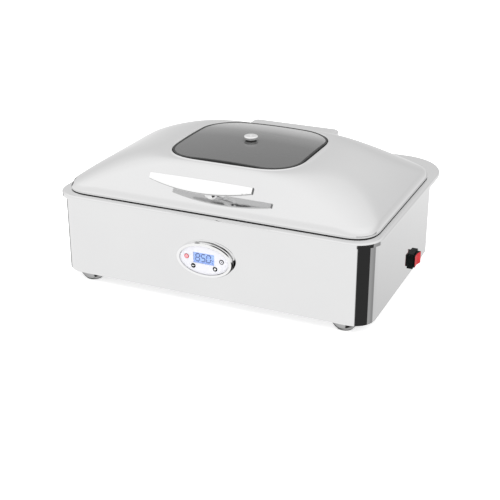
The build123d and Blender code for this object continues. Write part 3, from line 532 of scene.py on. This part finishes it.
def lid_dome():
    """One pressed sheet: rolled lip, dome with soft hips, and a raised bead round the window."""
    rings = [edge_ring(rise * MM, inset * MM) for rise, inset in LIP_RINGS]
    rings += [dome_ring(1 - (1 - step / DOME_STEPS) ** DOME_CROWDING) for step in range(1, DOME_STEPS + 1)]
    rings += [window_ring(outset * MM, rise * MM) for outset, rise in BEAD_RINGS]
    vertices, faces = stack_rings(rings)
    lid = make_piece("lid_dome", vertices, faces, "polished_steel", "lid")
    sheet = lid.modifiers.new("sheet", "SOLIDIFY")
    sheet.thickness = LID_SHEET
    sheet.offset = -1.0
    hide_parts("lid_shell")


# --- flat shapes, as outlines in the panel's own plane ----------------------------

SEGMENTS = {"8": "abcdefg", "5": "acdfg", "0": "abcdef", "c": "adef"}
SEGMENT_ENDS = {"a": ((0, 1), (1, 1)), "b": ((1, 1), (1, 0.5)), "c": ((1, 0.5), (1, 0)),
                "d": ((0, 0), (1, 0)), "e": ((0, 0.5), (0, 0)), "f": ((0, 1), (0, 0.5)),
                "g": ((0, 0.5), (1, 0.5))}
SEGMENT_GAP = 0.12          # between segment tips, as a part of the line's width
DIGIT_LEAN = 0.06


def segment_shapes(text, x, z, width, height, line, step):
    """Pointed bars of seven-segment digits."""
    shapes = []
    for place, digit in enumerate(text):
        for key in SEGMENTS[digit]:
            ends = [Vector((x + place * step + u * width + v * height * DIGIT_LEAN, z + v * height))
                    for u, v in SEGMENT_ENDS[key]]
            along = (ends[1] - ends[0]).normalized() * line
            side = Vector((-along.y, along.x)) / 2
            start = ends[0] + along * SEGMENT_GAP
            finish = ends[1] - along * SEGMENT_GAP
            shapes.append([start, start + along / 2 + side, finish - along / 2 + side, finish,
                           finish - along / 2 - side, start + along / 2 - side])
    return shapes


def disc_shape(radius, steps=36):
    return [Vector((radius * cos(2 * pi * step / steps), radius * sin(2 * pi * step / steps)))
            for step in range(steps)]


def arc_shapes(inner, outer, first=0, last=360, steps=32):
    """Short quads that make an arc between two angles in degrees."""
    shapes = []
    for step in range(steps):
        turns = [radians(first + (last - first) * (step + part) / steps) for part in (0, 1)]
        near = [Vector((inner * cos(turn), inner * sin(turn))) for turn in turns]
        far = [Vector((outer * cos(turn), outer * sin(turn))) for turn in turns]
        shapes.append([near[0], far[0], far[1], near[1]])
    return shapes


def bar_shape(width, height, x=0.0, z=0.0):
    return [Vector((x + u * width / 2, z + v * height / 2)) for u, v in ((-1, -1), (1, -1), (1, 1), (-1, 1))]


def raised_print(name, shapes, centre, y, thickness, look, body):
    """Thin raised shapes that face -Y, their front at y."""
    vertices = []
    faces = []
    for shape in shapes:
        first = len(vertices)
        count = len(shape)
        for depth in (0.0, thickness):
            vertices += [Vector((centre.x + point.x, y + depth, centre.z + point.y)) for point in shape]
        faces.append(tuple(range(first, first + count)))
        faces.append(tuple(range(first + 2 * count - 1, first + count - 1, -1)))
        faces += bridge(first, first + count, count)
    piece = make_piece(name, vertices, faces, look, body, smooth=False)
    outward = bmesh.new()
    outward.from_mesh(piece.data)
    bmesh.ops.recalc_face_normals(outward, faces=outward.faces)
    outward.to_mesh(piece.data)
    outward.free()


# --- display, icons and rocker ----------------------------------------------------

DIGIT_H = 13.6 * MM
DIGIT_W = 7.2 * MM
DIGIT_LINE = 2.3 * MM
DIGIT_STEP = 10.6 * MM
DIGIT_LEFT = -16.6 * MM     # from the middle of the display
POINT_SIDE = 1.5 * MM
POINT_X = 3.6 * MM
UNIT_X = 15.4 * MM
UNIT_Z = -7.6 * MM
UNIT_W = 2.8 * MM
UNIT_LINE = 1.2 * MM
DEGREE_AT = Vector((14.4 * MM, -1.2 * MM))
DEGREE_IN_R = 0.5 * MM
DEGREE_OUT_R = 1.2 * MM
DIGIT_LIFT = 0.06 * MM      # the print's front over the display's own
DIGIT_THICK = 0.04 * MM


def display_digits():
    """85.0 and a small degree sign with its c."""
    shapes = segment_shapes("850", DIGIT_LEFT, -DIGIT_H / 2, DIGIT_W, DIGIT_H, DIGIT_LINE, DIGIT_STEP)
    shapes.append(bar_shape(POINT_SIDE, POINT_SIDE, POINT_X, -DIGIT_H / 2))
    shapes += segment_shapes("c", UNIT_X, UNIT_Z, UNIT_W, 2 * UNIT_W, UNIT_LINE, 0)
    shapes += [[point + DEGREE_AT for point in shape]
               for shape in arc_shapes(DEGREE_IN_R, DEGREE_OUT_R, steps=12)]
    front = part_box("lcd_module")[0][1] - DIGIT_LIFT
    raised_print("display_digits", shapes, box_middle("display_window"), front, DIGIT_THICK, "digit_blue",
                 "root")


PRINT_THICK = 0.06 * MM
CAP_R = 4.15 * MM
RING_R = 4.1 * MM           # outside of the power and timer rings
POWER_RING_IN_R = 2.7 * MM
POWER_ARC = (1.0 * MM, 1.7 * MM, -235, 55, 20)
POWER_STROKE = (0.7 * MM, 1.7 * MM, 0, 1.1 * MM)
TIMER_RING_IN_R = 2.9 * MM
TIMER_DOT_R = 1.0 * MM
SIGN_L = 4.6 * MM
SIGN_LINE = 1.2 * MM
PLUS_ARM = (SIGN_L - SIGN_LINE) / 2
PLUS_ARM_AT = SIGN_LINE / 2 + PLUS_ARM / 2 + 0.01 * MM


def button_icons():
    """Power and timer are printed on white caps, minus and plus straight on their dark buttons."""
    level_bar = bar_shape(SIGN_L, SIGN_LINE)
    prints = {
        "power": ("icon_red", arc_shapes(POWER_RING_IN_R, RING_R) + arc_shapes(*POWER_ARC)
                  + [bar_shape(*POWER_STROKE)]),
        "timer": ("icon_dark", arc_shapes(TIMER_RING_IN_R, RING_R) + [disc_shape(TIMER_DOT_R)]),
        "minus": ("icon_white", [level_bar]),
        "plus": ("icon_white", [level_bar] + [bar_shape(SIGN_LINE, PLUS_ARM, 0, way * PLUS_ARM_AT)
                                              for way in (1, -1)]),
    }
    for name, (look, shapes) in prints.items():
        body = "button_" + name
        centre = box_middle(body)
        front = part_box(body)[0][1] - PRINT_THICK
        if name in ("power", "timer"):
            raised_print(body + "_cap", [disc_shape(CAP_R)], centre, front, PRINT_THICK, "white_plastic",
                         body)
            front -= PRINT_THICK
        raised_print(body + "_icon", shapes, centre, front, PRINT_THICK, look, body)


ROCKER_PIVOT_OUT = 5.6 * MM     # of the rocker's axis from the wall
ROCKER_REST = radians(7)
LENS_HALF_L = 13.3 * MM
LENS_MARGIN = 1.1 * MM          # black left at each side of the lens
LENS_THICK = 0.28 * MM
LENS_END_OUT = 5.02 * MM        # of its underside from the axis, at the ends and in the middle
LENS_MID_OUT = 3.02 * MM


def rocker_face():
    """Red lens over the two slopes of the rocker."""
    low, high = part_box("rocker")
    half_w = (high[2] - low[2]) / 2 - LENS_MARGIN
    pivot = Vector((HOUSING_HIGH[0] + ROCKER_PIVOT_OUT, box_middle("switch_body").y, box_middle("rocker").z))
    under = [(-LENS_HALF_L, LENS_END_OUT), (0.0, LENS_MID_OUT), (LENS_HALF_L, LENS_END_OUT)]
    profile = under + [(along, out + LENS_THICK) for along, out in reversed(under)]
    vertices = []
    for z in (-half_w, half_w):
        for along, out in profile:
            turned_along = along * cos(ROCKER_REST) - out * sin(ROCKER_REST)
            turned_out = along * sin(ROCKER_REST) + out * cos(ROCKER_REST)
            vertices.append(pivot + Vector((turned_out, turned_along, z)))
    count = len(profile)
    faces = [(0, 5, 4, 1), (1, 4, 3, 2), (6, 7, 10, 11), (7, 8, 9, 10)] + bridge(0, count, count)
    make_piece("rocker_face", vertices, faces, "red_plastic", "rocker", smooth=False)


# --- stage ------------------------------------------------------------------------

FLOOR_REACH = 12.0


def add_floor():
    """Plain pale floor that gives a little light of its own and doesn't show in the polish."""
    corners = [(u * FLOOR_REACH, v * FLOOR_REACH, 0) for u, v in ((-1, -1), (1, -1), (1, 1), (-1, 1))]
    mesh = bpy.data.meshes.new("floor")
    mesh.from_pydata(corners, [], [(0, 1, 2, 3)])
    floor = bpy.data.objects.new("floor", mesh)
    bpy.context.scene.collection.objects.link(floor)
    material, tree, shader = new_material("floor_white")
    set_sockets(shader, Metallic=0.0, Specular_IOR_Level=0.1)
    set_sockets(shader, Emission_Color=grey(1.0), Emission_Strength=0.62)
    vary_colour(tree, shader, 3.0, (0.9, 0.9, 0.9), (0.92, 0.92, 0.92))
    vary_roughness(tree, shader, 4.0, 0.7, 0.8)
    mesh.materials.append(material)
    floor.visible_glossy = False


# Radiance of the studio by height, from straight down (0) to straight up (1).
STUDIO_LEVELS = ((0.0, 0.9), (0.25, 0.95), (0.38, 1.0), (0.47, 0.92), (0.55, 0.9), (0.66, 0.92),
                 (0.78, 0.98), (0.9, 1.1), (1.0, 1.15))
# Dark and grey flats low down: from, to and softness in degrees from the front, and how dark.
STUDIO_FLATS = ((23, 91, 2.5, 0.965), (91, 128, 3.5, 0.6), (-135, -117, 2.5, 0.94))
FLATS_TOP = 0.06            # the flats fade out between these heights of a unit direction
FLATS_FULL = -0.04
BACK_WALL_DARKNESS = 0.26
BACK_WALL_Z = 0.25
LOW_BACK_DARKNESS = 0.26
LOW_BACK_Y = (0.2, 0.5)     # comes in from the first to the second
LOW_BACK_Z = (-0.34, -0.45)
SEEN_BACKDROP = 1.2         # plain white behind the object, for the camera alone


def back_wall(tree, y, z):
    """Darkness toward the back, most of it a little over the horizon."""
    backward = math_node(tree, "MULTIPLY", math_node(tree, "MAXIMUM", y, 0.0), BACK_WALL_DARKNESS)
    off = math_node(tree, "ABSOLUTE", math_node(tree, "SUBTRACT", z, BACK_WALL_Z))
    band = math_node(tree, "MAXIMUM", math_node(tree, "SUBTRACT", 1.0, off), 0.0)
    return math_node(tree, "MULTIPLY", backward, band)


def low_back(tree, y, z):
    """Darkness low at the back, mirrored by what is seen at a flat angle."""
    below = map_range(tree, z, *LOW_BACK_Z, 0.0, LOW_BACK_DARKNESS)
    return math_node(tree, "MULTIPLY", map_range(tree, y, *LOW_BACK_Y), below)


def low_flats(tree, azimuth, z):
    """Darkness of the flats, which the polished corners mirror."""
    flats = 0.0
    for low, high, soft, darkness in STUDIO_FLATS:
        flats = math_node(tree, "MULTIPLY_ADD", sector(tree, azimuth, low, high, soft), darkness, flats)
    return math_node(tree, "MULTIPLY", flats, step_between(tree, z, FLATS_TOP, FLATS_FULL))


def add_studio():
    """Pale studio all round, darker at the back, with dark flats low down that the corners mirror."""
    world = bpy.data.worlds.new("studio")
    bpy.context.scene.world = world
    world.use_nodes = True
    tree = world.node_tree
    tree.nodes.clear()
    place = tree.nodes.new("ShaderNodeTexCoord")
    x, y, z = split_axes(tree, place.outputs["Generated"])
    azimuth = math_node(tree, "ARCTAN2", x, math_node(tree, "MULTIPLY", y, -1.0))
    level = grey_ramp(tree, math_node(tree, "MULTIPLY_ADD", z, 0.5, 0.5), STUDIO_LEVELS, "B_SPLINE")
    for darkness in (low_flats(tree, azimuth, z), back_wall(tree, y, z), low_back(tree, y, z)):
        level = math_node(tree, "MULTIPLY", level, math_node(tree, "SUBTRACT", 1.0, darkness))
    path = tree.nodes.new("ShaderNodeLightPath")
    backdrop = math_node(tree, "MULTIPLY", path.outputs["Is Camera Ray"], SEEN_BACKDROP)
    background = tree.nodes.new("ShaderNodeBackground")
    background.inputs["Color"].default_value = grey(1.0)
    tree.links.new(math_node(tree, "MAXIMUM", level, backdrop), background.inputs["Strength"])
    output = tree.nodes.new("ShaderNodeOutputWorld")
    tree.links.new(background.outputs["Background"], output.inputs["Surface"])


def add_lights():
    """One wide soft lamp overhead that whitens the floor without showing in the polish."""
    data = bpy.data.lights.new("overhead", "AREA")
    data.shape = "DISK"
    data.size = 3.0
    data.energy = 60.0
    lamp = bpy.data.objects.new("overhead", data)
    lamp.location = (0.4, -0.6, 2.6)
    lamp.rotation_euler = (radians(12), radians(8), 0)
    lamp.visible_glossy = False
    bpy.context.scene.collection.objects.link(lamp)


# --- build ------------------------------------------------------------------------

add_camera()
dress_cad_nodes()
lid_dome()
display_digits()
button_icons()
rocker_face()
add_floor()
add_studio()
add_lights()
bpy.context.scene.view_settings.view_transform = "Standard"
